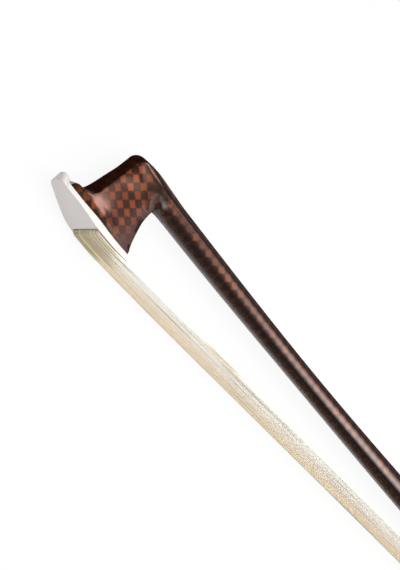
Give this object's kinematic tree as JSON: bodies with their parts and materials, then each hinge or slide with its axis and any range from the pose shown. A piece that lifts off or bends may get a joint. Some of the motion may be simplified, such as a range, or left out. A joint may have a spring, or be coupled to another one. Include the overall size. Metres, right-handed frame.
{
  "type": "viola bow",
  "caption": "Viola bow with a woven composite stick and head, white tip plate, flat ribbon of hair and a frog drawn along the handle by a screw with a button.",
  "frame": {"origin": "middle of the button's end face, on the axis of the screw", "axes": "+X along the handle from the button to the head, +Y from the stick towards the hair, +Z across the bow, which lies on its side"},
  "size_m": [0.749, 0.0306, 0.014],
  "materials": {
    "lacquered_weave": "gloss clear lacquer over copper and dark brown checked weave",
    "white_polymer": "semi-gloss",
    "plain_wood": "raw, sawn",
    "bound_thread": "tied thread over hair ends",
    "horsehair": "straight natural hair",
    "dark_leather": "smooth, low sheen",
    "silver": "polished silver-coloured metal",
    "ebony": "polished black wood",
    "mother_of_pearl": "polished shell",
    "brass": "turned",
    "steel": "turned"
  },
  "bodies": {
    "stick": {"stick": "lacquered_weave", "tip_plate": "white_polymer", "tip_plug": "plain_wood", "tip_hair_knot": "bound_thread", "hair_ribbon": "horsehair", "winding": "silver", "thumb_grip": "dark_leather"},
    "frog": {"frog_block": "ebony", "ferrule": "silver", "spread_wedge": "plain_wood", "frog_plug": "plain_wood", "frog_hair_knot": "bound_thread", "slide_backing": "ebony", "pearl_slide": "mother_of_pearl", "heel_plate_lower": "silver", "heel_plate_back": "silver", "heel_pin_1": "silver", "heel_pin_2": "silver", "heel_pin_3": "silver", "underslide": "silver", "underslide_pin_front": "silver", "underslide_pin_rear": "silver", "eye_ring_left": "silver", "eye_ring_right": "silver", "eye_pearl_left": "mother_of_pearl", "eye_pearl_right": "mother_of_pearl", "eyelet": "brass"},
    "screw": {"adjusting_screw": "steel", "button_barrel": "ebony", "button_front_ring": "silver", "button_rear_ring": "silver", "button_pearl_eye": "mother_of_pearl"}
  },
  "joints": [
    {"name": "screw_turn", "type": "hinge", "parent": "stick", "child": "screw", "pos_m": [0, 0, 0], "axis": [1, 0, 0], "range_deg": [-721, 2521]},
    {"name": "frog_slide", "type": "slide", "parent": "stick", "child": "frog", "axis": [-1, 0, 0], "range_m": [-0.0014, 0.0049], "deforming": ["hair_ribbon"]}
  ],
  "couplings": [
    {"joint": "screw_turn", "follows": "frog_slide", "rad_per_m": 8976}
  ]
}
